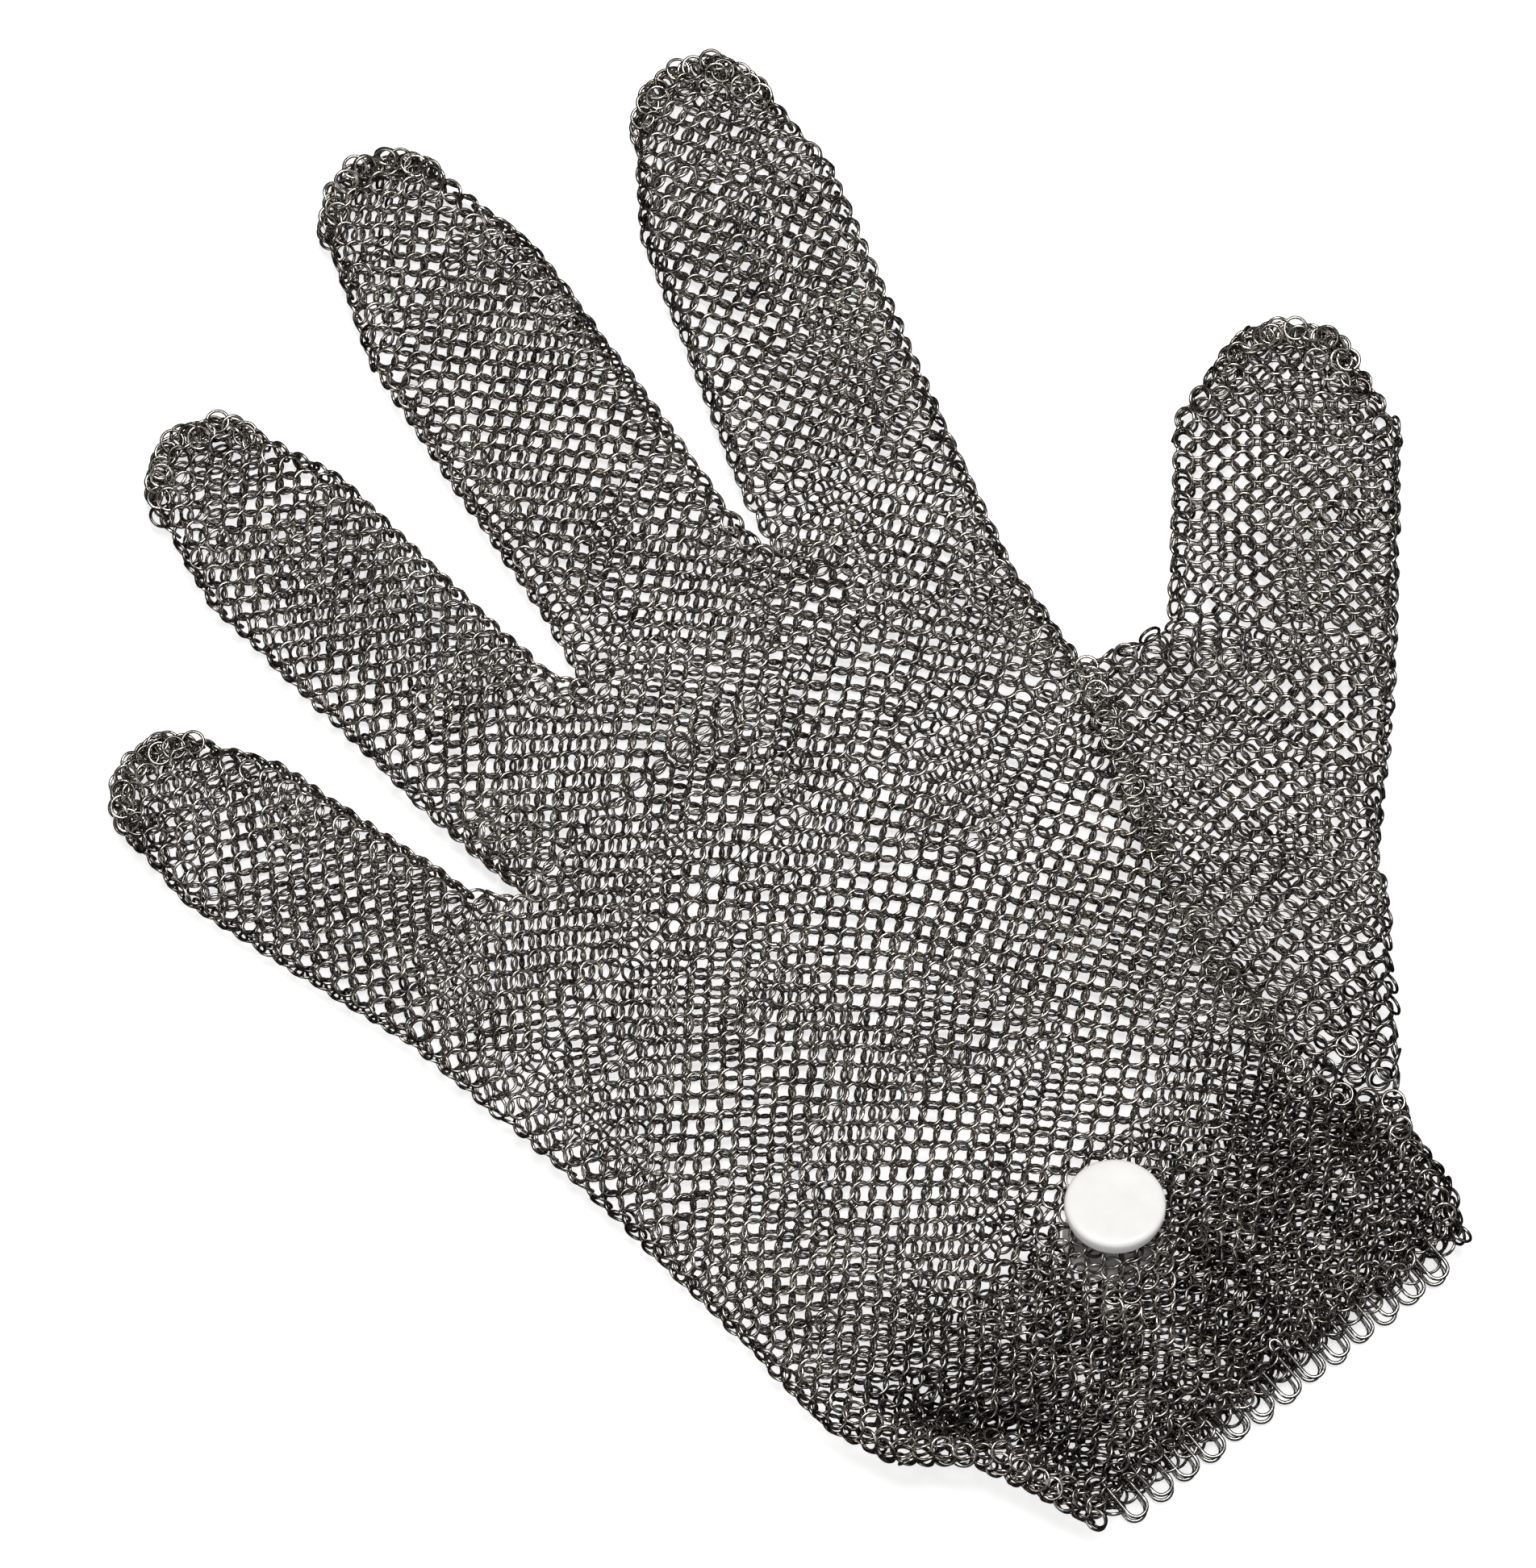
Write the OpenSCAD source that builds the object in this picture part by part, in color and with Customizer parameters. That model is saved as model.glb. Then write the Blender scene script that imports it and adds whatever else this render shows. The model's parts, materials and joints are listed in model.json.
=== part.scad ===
// Ring-mail work glove: five fingers, a gathered cuff with an all-metal closing
// spring along each side of its mouth, and a plastic size button.
//
// Each stretch of ring mail between two bends is one soft tube, drawn here as a
// plain hollow solid of its true outline and thickness. The glove lies flat,
// +Y from the cuff to the middle fingertip, +X towards the thumb, +Z up.
// Its outline is laid out first and then moved, so that the origin is at the
// middle of the glove's underside.

/* [Mail] */
// Thickness of the glove where it lies flat
glove_t = 8; // [7.5:0.5:10]
// Thickness of one layer of mail
layer_t = 1.6; // [1.2:0.1:1.7]
// Width of the folded mail along each edge
edge_w = 2; // [1.5:0.25:3]
// Gap between two stretches of mail at a bend
bend_gap = 0.4; // [0.3:0.1:0.8]

/* [Fingers] */
// Length of the thumb beyond its knuckle
thumb_l = 53; // [48:1:58]
// Length of the index finger beyond its crotch
index_l = 78; // [72:1:84]
// Length of the middle finger beyond its crotch
middle_l = 89; // [83:1:95]
// Length of the ring finger beyond its crotch
ring_l = 77; // [71:1:83]
// Length of the little finger beyond its crotch
little_l = 64; // [59:1:70]
// Largest bend of the knuckles, in degrees
knuckle_bend = 60; // [0:5:70]
// Largest bend of the middle finger joints, in degrees
middle_bend = 80; // [0:5:90]
// Largest bend of the fingertip joints, in degrees
tip_bend = 40; // [0:5:60]
// Largest swing of the thumb over the palm, in degrees
thumb_swing = 40; // [0:5:50]

/* [Wrist and cuff] */
// Distance of the wrist bend from the cuff's edge
wrist_y = 58; // [57:0.5:60]
// Largest bend of the wrist, in degrees
wrist_bend = 40; // [0:5:50]
// Thickness of the gathered part of the cuff
cuff_t = 11.5; // [11:0.5:12.5]
// Thickness of the cuff at its mouth
mouth_t = 9; // [8.5:0.5:10]

/* [Closing spring] */
// Diameter of the spring's wire
spring_wire = 0.66; // [0.5:0.02:0.8]
// Distance from one loop to the next
spring_pitch = 5.3; // [5:0.1:5.5]
// Number of loops along each side of the mouth
spring_loops = 13; // [9:1:14]
// Width of a loop, between the middles of its legs
loop_w = 3.5; // [3.2:0.1:3.8]
// Length of a loop's straight legs
leg_l = 7; // [6:0.5:8]

/* [Button] */
// Diameter of the button's cap
cap_d = 16.8; // [15:0.2:17.4]
// Height of the cap
cap_h = 2.1; // [1.8:0.1:2.6]
// Radius of the cap's rounded edge
cap_round = 0.9; // [0.4:0.1:1]
// Diameter of the base disc under the cap
base_d = 16; // [14:0.2:16.4]
// Height of the base disc
base_h = 1.1; // [0.8:0.1:1.4]
// Diameter of the stem that passes through the mail
stem_d = 4.4; // [3:0.2:6]
// Thickness of the disc inside the glove
back_h = 1.2; // [1:0.1:1.3]
// Lean of the button on the gathered mail, in degrees
button_lean = 22; // [16:1:22]

/* [Hidden] */
$fn = 64;

mail_steel = [0.55, 0.54, 0.52];
spring_steel = [0.72, 0.72, 0.71];
white_plastic = [0.96, 0.96, 0.95];

// Height of every bend's axis.
bend_z = glove_t / 2;
// How far a cutter runs past what it cuts.
past = 1;

// A finger is [middle of its root line, heading from +Y towards +X in degrees,
// length, width at the root, greatest width, radius of the tip].
THUMB = [[79, 100.5], 40, thumb_l, 39, 39, 14];
INDEX = [[38, 166], 16, index_l, 37, 35.5, 12.5];
MIDDLE = [[0, 172.2], 3, middle_l, 37, 35.5, 12];
RING = [[-38.4, 166], -8, ring_l, 32, 32, 11.5];
LITTLE = [[-68, 141.6], -19, little_l, 28, 29, 11];
LONG_FINGERS = [INDEX, MIDDLE, RING, LITTLE];

// Where a finger bends and where it starts to taper, as parts of its length.
first_bend = 0.32;
second_bend = 0.62;
thumb_bend = 0.46;
taper_start = 0.66;
taper_overlap = 0.15;

// The two ends of the wrist bend.
thumb_heel = [67, wrist_y];
little_heel = [-68.6, wrist_y];

// Line that the thumb swings about, from the thumb's crotch to the wrist.
thumb_crotch = [48.5, 116];
swing_heading = atan2(thumb_crotch.y - thumb_heel.y, thumb_heel.x - thumb_crotch.x);
swing_l = norm(thumb_crotch - thumb_heel);

function forward(heading) = [sin(heading), cos(heading)];
function sideways(heading) = [cos(heading), -sin(heading)];
function point_on(f, side, along) = f[0] + side * sideways(f[1]) + along * forward(f[1]);
function root_line(f) = [point_on(f, f[3] / 2, 0), point_on(f, -f[3] / 2, 0)];
function unit(v) = v / norm(v);
function left_of(v) = [-v.y, v.x];

// Moves every edge of an anticlockwise outline inwards by d.
function inset(outline, d) = [
  for (i = [0:len(outline) - 1])
    let(
      n = len(outline),
      before = left_of(unit(outline[i] - outline[(i + n - 1) % n])),
      after = left_of(unit(outline[(i + 1) % n] - outline[i]))
    ) outline[i] + d * (before + after) / (1 + before * after)
];

// Outlines, anticlockwise.
PALM = concat(
  [thumb_heel, thumb_crotch, [48, 128], [51, 142]],
  root_line(INDEX), root_line(MIDDLE), [[-20, 166]],
  root_line(RING), [[-50.5, 145]],
  root_line(LITTLE), [[-77, 118.5], little_heel]
);
// The thumb's base stops short of the wrist, where both can fold at once.
heel_cut = 4;
THUMB_BASE = concat(
  [
    thumb_heel + heel_cut * unit(thumb_crotch - thumb_heel),
    thumb_heel + heel_cut * unit(root_line(THUMB)[0] - thumb_heel)
  ],
  root_line(THUMB), [thumb_crotch]
);
CUFF = [
  [-41, 1], [39, 1], [43.5, 8], [43.5, 24], [66, 54], thumb_heel,
  little_heel, [-66.5, 40], [-59, 28], [-49, 20], [-45, 9]
];

// The cuff's thickness along Y: thin at its mouth, full where it is gathered.
cuff_mouth_y = CUFF[0].y;
cuff_full_from = 12;
cuff_full_to = 38;
CUFF_SIDE = [
  [cuff_mouth_y - past, 0], [wrist_y + past, 0], [wrist_y + past, glove_t],
  [wrist_y, glove_t], [cuff_full_to, cuff_t], [cuff_full_from, cuff_t],
  [cuff_mouth_y, mouth_t], [cuff_mouth_y - past, mouth_t]
];
mouth_w = CUFF[1].x - CUFF[0].x;
mouth_x = (CUFF[1].x + CUFF[0].x) / 2;
wrist_w = thumb_heel.x - little_heel.x;
wrist_x = (thumb_heel.x + little_heel.x) / 2;

// Button: middle of its base disc's underside, and the heading that it leans to.
button_at = [-6.1, 39.4, 13.6];
lean_heading = 38;
neck_h = 0.3;
neck_d = base_d - 0.8;
// Gathered mail that the button is clipped to.
mound_d = 18.6;
mound_h = 7.1;
button_play = 0.3;

// Spring: where the middles of its outer bends lie, and its height in the mail.
loop_y = -0.6;
front_spring_z = mouth_t - layer_t / 2;
back_spring_z = layer_t / 2;
wire_sides = 8;
arc_steps = 7;

// Reach of the glove, for the place of the origin.
finger_reach = [
  for (f = concat(LONG_FINGERS, [THUMB]))
    for (side = [-1, 1])
      each [
        point_on(f, 0, f[2] - f[5]) + side * [f[5], f[5]],
        point_on(f, side * f[4] / 2, f[2] * taper_start)
      ]
];
x_low = min([for (p = finger_reach) p.x]);
x_high = max([for (p = finger_reach) p.x]);
y_low = loop_y - loop_w / 2 - spring_wire / 2;
y_high = max([for (p = finger_reach) p.y]);

module to_origin() {
  translate([-(x_low + x_high) / 2, -(y_low + y_high) / 2, 0]) children();
}

// Puts a shape drawn along +Y at a point, turned to a heading.
module at_heading(at, heading) {
  translate([at.x, at.y, 0]) rotate([0, 0, -heading]) children();
}

// Cuts a bend across Y: a slit below the axis and, above it, room for the bend.
module bend_cut(bend, width) {
  top = glove_t + past;
  open = (top - bend_z) * tan(bend / 2) + bend_gap / 2;
  slit = bend_gap / 2;
  rotate([90, 0, 90])
    linear_extrude(width, center = true)
      polygon([[-slit, -past], [slit, -past], [slit, bend_z], [open, top], [-open, top], [-slit, bend_z]]);
}

// A finger's whole outline along +Y from its root, made smaller by shrink.
module finger_outline(f, shrink) {
  root = f[3] / 2 - shrink;
  wide = [f[4] / 2 - shrink, f[2] * taper_start];
  tip = [0, f[2] - f[5]];
  tip_r = f[5] - shrink;
  // The taper meets the round tip just inside the point where it would be tangent.
  to_wide = wide - tip;
  turn = atan2(to_wide.y, to_wide.x) + acos(tip_r / norm(to_wide));
  meet = tip + (tip_r - taper_overlap) * [cos(turn), sin(turn)];
  polygon([
    [-root, -past], [root, -past], wide, meet, [-meet.x, meet.y], [-wide.x, wide.y]
  ]);
  translate(tip) circle(tip_r);
}

// A passage for a finger through its root line, drawn along +Y.
module passage(width) {
  translate([-width / 2 + edge_w, -3 * edge_w, layer_t])
    cube([width - 2 * edge_w, 6 * edge_w, glove_t - 2 * layer_t]);
}

// The stretch of a finger's mail between two places along it.
module finger_stretch(f, from, to, from_bend, to_bend) {
  color(mail_steel)
    to_origin()
      at_heading(f[0], f[1])
        difference() {
          intersection() {
            linear_extrude(glove_t) finger_outline(f, 0);
            translate([-f[3], from, -past]) cube([2 * f[3], to - from, glove_t + 2 * past]);
          }
          translate([0, 0, layer_t]) linear_extrude(glove_t - 2 * layer_t) finger_outline(f, edge_w);
          translate([0, from, 0]) bend_cut(from_bend, 2 * f[3]);
          if (to < f[2]) translate([0, to, 0]) bend_cut(to_bend, 2 * f[3]);
        }
}

module finger_base(f) {
  finger_stretch(f, 0, f[2] * first_bend, knuckle_bend, middle_bend);
}

module finger_middle(f) {
  finger_stretch(f, f[2] * first_bend, f[2] * second_bend, middle_bend, tip_bend);
}

module finger_tip(f) {
  finger_stretch(f, f[2] * second_bend, f[2] + past, tip_bend, 0);
}

module thumb_middle() {
  finger_stretch(THUMB, 0, THUMB[2] * thumb_bend, knuckle_bend, middle_bend);
}

module thumb_tip() {
  finger_stretch(THUMB, THUMB[2] * thumb_bend, THUMB[2] + past, middle_bend, 0);
}

// Runs its children across the line that the thumb swings about.
module at_swing() {
  at_heading((thumb_crotch + thumb_heel) / 2, swing_heading) children();
}

module palm_mail() {
  color(mail_steel)
    to_origin()
      difference() {
        linear_extrude(glove_t) polygon(PALM);
        translate([0, 0, layer_t])
          linear_extrude(glove_t - 2 * layer_t)
            polygon(inset(PALM, edge_w));
        for (f = LONG_FINGERS)
          at_heading(f[0], f[1]) {
            passage(f[3]);
            bend_cut(knuckle_bend, f[3] + past);
          }
        at_swing() {
          passage(swing_l - 2 * edge_w);
          bend_cut(thumb_swing, swing_l + past);
        }
        translate([wrist_x, wrist_y, 0]) {
          passage(wrist_w - 2 * edge_w);
          bend_cut(wrist_bend, wrist_w + 4 * past);
        }
      }
}

module thumb_base_mail() {
  color(mail_steel)
    to_origin()
      difference() {
        linear_extrude(glove_t) polygon(THUMB_BASE);
        translate([0, 0, layer_t])
          linear_extrude(glove_t - 2 * layer_t)
            polygon(inset(THUMB_BASE, edge_w));
        at_heading(THUMB[0], THUMB[1]) {
          passage(THUMB[3]);
          bend_cut(knuckle_bend, THUMB[3] + past);
        }
        at_swing() {
          passage(swing_l - 2 * edge_w);
          bend_cut(thumb_swing, swing_l + 4 * past);
        }
      }
}

// The cuff between two heights below its own top, over an outline.
module cuff_block(outline, lift, top_drop) {
  intersection() {
    translate([0, 0, lift]) linear_extrude(cuff_t) polygon(outline);
    translate([-2 * wrist_w, 0, -top_drop])
      rotate([90, 0, 90])
        linear_extrude(4 * wrist_w)
          polygon([for (p = CUFF_SIDE) [p.x, p.y == 0 ? -past : p.y]]);
  }
}

// Puts its children on the button's own axis, base disc's underside at 0.
module on_button_axis() {
  translate(button_at) rotate([0, 0, -lean_heading]) rotate([-button_lean, 0, 0]) children();
}

module cuff_mail() {
  inner = inset(CUFF, edge_w);
  color(mail_steel)
    to_origin()
      difference() {
        union() {
          difference() {
            cuff_block(CUFF, 0, 0);
            cuff_block(inner, layer_t, layer_t);
            translate([mouth_x - mouth_w / 2 + edge_w, cuff_mouth_y - past, layer_t])
              cube([mouth_w - 2 * edge_w, 3 * edge_w, mouth_t - 2 * layer_t]);
            translate([wrist_x, wrist_y, 0]) passage(wrist_w - 2 * edge_w);
          }
          on_button_axis()
            translate([0, 0, -mound_h - button_play])
              cylinder(h = mound_h, d = mound_d);
        }
        on_button_axis()
          translate([0, 0, -mound_h - 2 * past])
            cylinder(h = mound_h + 3 * past, d = stem_d + 2 * button_play);
        translate([wrist_x, wrist_y, 0]) bend_cut(wrist_bend, wrist_w + 4 * past);
      }
}

// Middle line of a spring: loops out of the mouth, joined by bends in the mail.
function arc_points(centre, r, from, to) = [
  for (i = [0:arc_steps - 1])
    let(a = from + (to - from) * i / (arc_steps - 1))
      centre + r * [cos(a), sin(a)]
];
spring_x = function (k) (k - (spring_loops - 1) / 2) * spring_pitch;
inner_bend_r = (spring_pitch - loop_w) / 2;
SPRING_PATH = [
  [spring_x(0) - loop_w / 2, loop_y + leg_l],
  for (k = [0:spring_loops - 1])
    each concat(
      arc_points([spring_x(k), loop_y], loop_w / 2, 180, 360),
      k == spring_loops - 1
        ? [[spring_x(k) + loop_w / 2, loop_y + leg_l]]
        : arc_points([spring_x(k) + spring_pitch / 2, loop_y + leg_l], inner_bend_r, 180, 0)
    )
];

// A round wire along a path in the XY plane.
module wire(path, d) {
  last = len(path) - 1;
  points = [
    for (i = [0:last])
      let(
        along = unit(path[min(i + 1, last)] - path[max(i - 1, 0)]),
        across = left_of(along)
      )
        for (j = [0:wire_sides - 1])
          let(a = 360 * j / wire_sides)
            [
              path[i].x + d / 2 * cos(a) * across.x,
              path[i].y + d / 2 * cos(a) * across.y,
              d / 2 * sin(a)
            ]
  ];
  sides = [
    for (i = [0:last - 1])
      for (j = [0:wire_sides - 1])
        let(k = (j + 1) % wire_sides)
          [i * wire_sides + j, i * wire_sides + k, (i + 1) * wire_sides + k, (i + 1) * wire_sides + j]
  ];
  ends = [
    [for (j = [wire_sides - 1:-1:0]) j],
    [for (j = [0:wire_sides - 1]) last * wire_sides + j]
  ];
  polyhedron(points, concat(sides, ends), convexity = 4);
}

module cuff_spring(z) {
  color(spring_steel) to_origin() translate([0, 0, z]) wire(SPRING_PATH, spring_wire);
}

module button_cap() {
  r = cap_d / 2;
  color(white_plastic)
    to_origin()
      on_button_axis()
        translate([0, 0, base_h + neck_h])
          rotate_extrude() {
            square([r - cap_round, cap_h]);
            square([r, cap_h - cap_round]);
            translate([r - cap_round, cap_h - cap_round])
              intersection() {
                circle(cap_round);
                square(cap_round);
              }
          }
}

module button_base() {
  color(white_plastic)
    to_origin()
      on_button_axis() {
        cylinder(h = base_h, d = base_d);
        cylinder(h = base_h + neck_h, d = neck_d);
        translate([0, 0, -mound_h - 2 * button_play]) cylinder(h = mound_h + 2 * button_play, d = stem_d);
      }
}

module button_back_disc() {
  color(white_plastic)
    to_origin()
      on_button_axis()
        translate([0, 0, -mound_h - 2 * button_play - back_h])
          cylinder(h = back_h, d = cap_d);
}

palm_mail();
cuff_mail();
thumb_base_mail();
thumb_middle();  // thumb_middle_mail
thumb_tip();  // thumb_tip_mail
finger_base(INDEX);  // index_base_mail
finger_middle(INDEX);  // index_middle_mail
finger_tip(INDEX);  // index_tip_mail
finger_base(MIDDLE);  // middle_base_mail
finger_middle(MIDDLE);  // middle_middle_mail
finger_tip(MIDDLE);  // middle_tip_mail
finger_base(RING);  // ring_base_mail
finger_middle(RING);  // ring_middle_mail
finger_tip(RING);  // ring_tip_mail
finger_base(LITTLE);  // little_base_mail
finger_middle(LITTLE);  // little_middle_mail
finger_tip(LITTLE);  // little_tip_mail
cuff_spring(front_spring_z);  // cuff_spring_front
cuff_spring(back_spring_z);  // cuff_spring_back
button_cap();
button_base();
button_back_disc();
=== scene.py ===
import json
import math

import bpy
import numpy as np
from mathutils import Matrix, Vector


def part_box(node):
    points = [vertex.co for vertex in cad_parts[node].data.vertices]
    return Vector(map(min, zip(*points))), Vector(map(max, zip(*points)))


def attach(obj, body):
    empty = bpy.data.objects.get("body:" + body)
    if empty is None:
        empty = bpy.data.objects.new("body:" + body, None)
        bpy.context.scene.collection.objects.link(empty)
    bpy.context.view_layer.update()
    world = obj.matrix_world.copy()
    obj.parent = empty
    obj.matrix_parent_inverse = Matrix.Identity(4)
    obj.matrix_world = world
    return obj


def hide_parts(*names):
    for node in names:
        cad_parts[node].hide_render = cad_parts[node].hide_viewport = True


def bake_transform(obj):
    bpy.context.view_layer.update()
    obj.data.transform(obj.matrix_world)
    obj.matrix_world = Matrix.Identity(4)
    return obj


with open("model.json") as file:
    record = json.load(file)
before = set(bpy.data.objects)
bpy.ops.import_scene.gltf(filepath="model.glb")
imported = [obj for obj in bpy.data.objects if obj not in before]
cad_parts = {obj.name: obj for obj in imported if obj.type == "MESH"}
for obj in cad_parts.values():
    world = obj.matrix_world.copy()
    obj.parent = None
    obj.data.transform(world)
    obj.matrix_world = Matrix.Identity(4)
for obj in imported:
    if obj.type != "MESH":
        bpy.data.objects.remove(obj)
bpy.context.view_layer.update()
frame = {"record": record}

# Lengths are in millimetres and are laid out as in the CAD part, with the cuff's
# edge near y = 0. They become metres in the part's own frame in to_frame().
CUFF_LOW_X, CUFF_LOW_Y = -68.6, 1.0
cuff_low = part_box("cuff_mail")[0]
SHIFT = np.array([CUFF_LOW_X - cuff_low[0] * 1000, CUFF_LOW_Y - cuff_low[1] * 1000, 0.0])
rng = np.random.default_rng(41)

# Mail: rings, and how they lie.
RING_R, WIRE_R = 1.88, 0.285
ALONG_ROW, ALONG_ROW_GATHERED = 4.6, 4.0
ROW_PALM, ROW_FINGER, ROW_CUFF = 2.08, 1.86, 1.42
LOW_LEVEL, HIGH_LEVEL = 1.35, 6.8
MAIL_INSET, FOLD_R, LEAST_SPAN = 1.0, 3.0, 0.4
LEAN, LEAN_CLOSER = 27.0, 8.0
LOW_LAYER_SHIFT = np.array([1.3, 0.6])
RING_SEGMENTS, RING_SIDES = 24, 6
MOST_RINGS = 620
# FLOOR_DIP is how far a ring may reach below the floor; the other two are painted shade: how much darker
# the cuff's rings are made all over, and deep in its folds.
FLOOR_DIP, CUFF_PAINTED_SHADE, FOLD_PAINTED_SHADE = 0.1, 0.1, 0.85
PATH_SAMPLES = 121
WRIST_Y, GATHER_FULL_Y, MOUTH_FROM_Y = 58.0, 38.0, 13.0
# Scatter of single rings: lean and yaw in degrees, and place.
LEAN_SCATTER, YAW_SCATTER, PLACE_SCATTER, MORE_IN_GATHERS = 3.0, 3.5, 0.06, 1.4
# Slow drifts of the weave in each layer.
WANDER_TOP, WANDER_LOW, WANDER_FINE, WANDER_LOW_PHASE = 0.5, 0.9, 0.25, 2.4

# Fingers: root, heading from +Y towards +X, length, root width, width, tip radius.
FINGERS = {
    "index": ((38.0, 166.0), 16.0, 78.0, 37.0, 35.5, 12.5),
    "middle": ((0.0, 172.2), 3.0, 89.0, 37.0, 35.5, 12.0),
    "ring": ((-38.4, 166.0), -8.0, 77.0, 32.0, 32.0, 11.5),
    "little": ((-68.0, 141.6), -19.0, 64.0, 28.0, 29.0, 11.0),
    "thumb": ((79.0, 100.5), 40.0, 53.0, 39.0, 39.0, 14.0),
}
TAPER_START = 0.66
TIP_FLATTENING, LAST_ROW_BACK = 0.35, 2.2


def to_frame(points):
    """Laid-out millimetres to metres in the part's frame."""
    return (np.asarray(points, float) - SHIFT) / 1000


def smooth01(x):
    x = np.clip(x, 0, 1)
    return x * x * (3 - 2 * x)


def forward(heading):
    h = math.radians(heading)
    return np.array([math.sin(h), math.cos(h)])


def sideways(heading):
    h = math.radians(heading)
    return np.array([math.cos(h), -math.sin(h)])


def finger_coordinates(name, x, y):
    """How far to the side of a finger's middle line, and how far along it."""
    root, heading = FINGERS[name][:2]
    dx, dy = x - root[0], y - root[1]
    f, s = forward(heading), sideways(heading)
    return dx * s[0] + dy * s[1], dx * f[0] + dy * f[1]


def finger_half_width(name, a):
    length, root_w, width, tip_r = FINGERS[name][2:]
    wide_a = length * TAPER_START
    centre = length - tip_r
    if a <= wide_a:
        return (root_w + (width - root_w) * max(a, 0) / wide_a) / 2
    to_wide = np.array([width / 2, wide_a - centre])
    turn = math.atan2(to_wide[1], to_wide[0]) + math.acos(tip_r / np.linalg.norm(to_wide))
    meet = np.array([tip_r * math.cos(turn), centre + tip_r * math.sin(turn)])
    if a <= meet[1]:
        share = (a - wide_a) / (meet[1] - wide_a)
        return width / 2 + (meet[0] - width / 2) * share
    return math.sqrt(max(tip_r**2 - (a - centre) ** 2, 0))


# ---------------------------------------------------------------- heights
joints = {j["name"]: j for j in frame["record"]["behaviour"]["joints"]}
button_joint = joints["button_spin"]
BUTTON_AT = np.array(button_joint["pos_m"]) * 1000 + SHIFT
BUTTON_AXIS = np.array(button_joint["axis"])
BUTTON_AXIS = BUTTON_AXIS / np.linalg.norm(BUTTON_AXIS)
OUTLINE_Y = np.array([0, 9, 20, 28, 40, 58, 80])
OUTLINE_LEFT = np.array([-41, -45, -49, -59, -66.5, -68.6, -71])
OUTLINE_RIGHT = np.array([39, 43.5, 43.5, 46.5, 55.5, 67, 70])
TOP_WAVES = [(3.0, 0.7, 0.05, 0.55), (5.0, 2.1, -0.06, 0.65), (9.0, 4.0, 0.05, 0.3)]
LOW_WAVES = [(4.0, 1.9, -0.04, 0.5), (6.0, 5.2, 0.05, 0.6), (10.0, 0.4, -0.06, 0.3)]
SWING, SWING_RATE = 0.5, 0.11
# How far the gathers lift each layer, the mouth drops it, the folds move it, and how
# much of that is lost at the mouth.
LOW_RISE, LOW_MOUTH_DROP, LOW_FOLD, LOW_FOLD_LOST = 2.1, 1.0, 1.9, 0.9
TOP_RISE, TOP_MOUTH_DROP, TOP_FOLD, TOP_FOLD_LOST = 1.3, 0.6, 2.3, 1.1
DRIFT, LOW_DRIFT_SHARE, TOP_SINK, LOW_DRIFT_PHASE = 0.28, 0.35, 0.1, 2
# The mail under the button: how flat it stays, how steep, and how far below the button.
MOUND_FLAT_R, MOUND_EASE, MOUND_SLOPE, BELOW_BUTTON = 6.5, 11.0, 3.2, 2.0


def gathers(x, y, waves):
    """Folds of the gathered cuff, running up from its edge. Each of the waves is a
    count across the cuff, a phase, a drift with y, and a size."""
    left = np.interp(y, OUTLINE_Y, OUTLINE_LEFT)
    right = np.interp(y, OUTLINE_Y, OUTLINE_RIGHT)
    share = (x - left) / (right - left)
    total = 0
    for count, phase, drift, size in waves:
        swing = SWING * np.sin(SWING_RATE * y + 2 * phase)
        total = total + size * np.sin(2 * math.pi * count * share + phase + drift * y + swing)
    return total


def layer_height(x, y, top):
    """Height of the middle of one layer of mail."""
    gather = smooth01((WRIST_Y + 4 - y) / (WRIST_Y + 4 - GATHER_FULL_Y + 4))
    mouth = smooth01((MOUTH_FROM_Y - y) / (MOUTH_FROM_Y - 2))
    waves = gathers(x, y, TOP_WAVES if top else LOW_WAVES)
    phase = 0 if top else LOW_DRIFT_PHASE
    drift = DRIFT * np.sin(0.071 * x + 0.043 * y + 1.3) * np.sin(0.052 * y - 0.031 * x + phase)
    if not top:
        mean = LOW_LEVEL + gather * LOW_RISE - mouth * LOW_MOUTH_DROP
        folds = gather * (LOW_FOLD - LOW_FOLD_LOST * mouth) * waves
        return mean + folds + LOW_DRIFT_SHARE * (drift + DRIFT)
    mean = HIGH_LEVEL + gather * TOP_RISE - mouth * TOP_MOUTH_DROP
    height = mean + gather * (TOP_FOLD - TOP_FOLD_LOST * mouth) * waves + drift - TOP_SINK
    # The mail is pushed up where the button is clipped through it.
    dx, dy = x - BUTTON_AT[0], y - BUTTON_AT[1]
    away = np.hypot(dx, dy)
    slope = (dx * BUTTON_AXIS[0] + dy * BUTTON_AXIS[1]) / BUTTON_AXIS[2]
    under_button = BUTTON_AT[2] - np.clip(slope, -MOUND_SLOPE, MOUND_SLOPE) - BELOW_BUTTON
    share = 1 - smooth01((away - MOUND_FLAT_R) / MOUND_EASE)
    return height + share * (under_button - height)


# ---------------------------------------------------------------- rows of rings
# An open row: its widest gap at an end, in pitches, and how many rings too few or too
# many it may have.
END_GAP, TOO_FEW, TOO_MANY = 0.7, 0.8, 1.2
EDGE_EASE = 8


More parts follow.
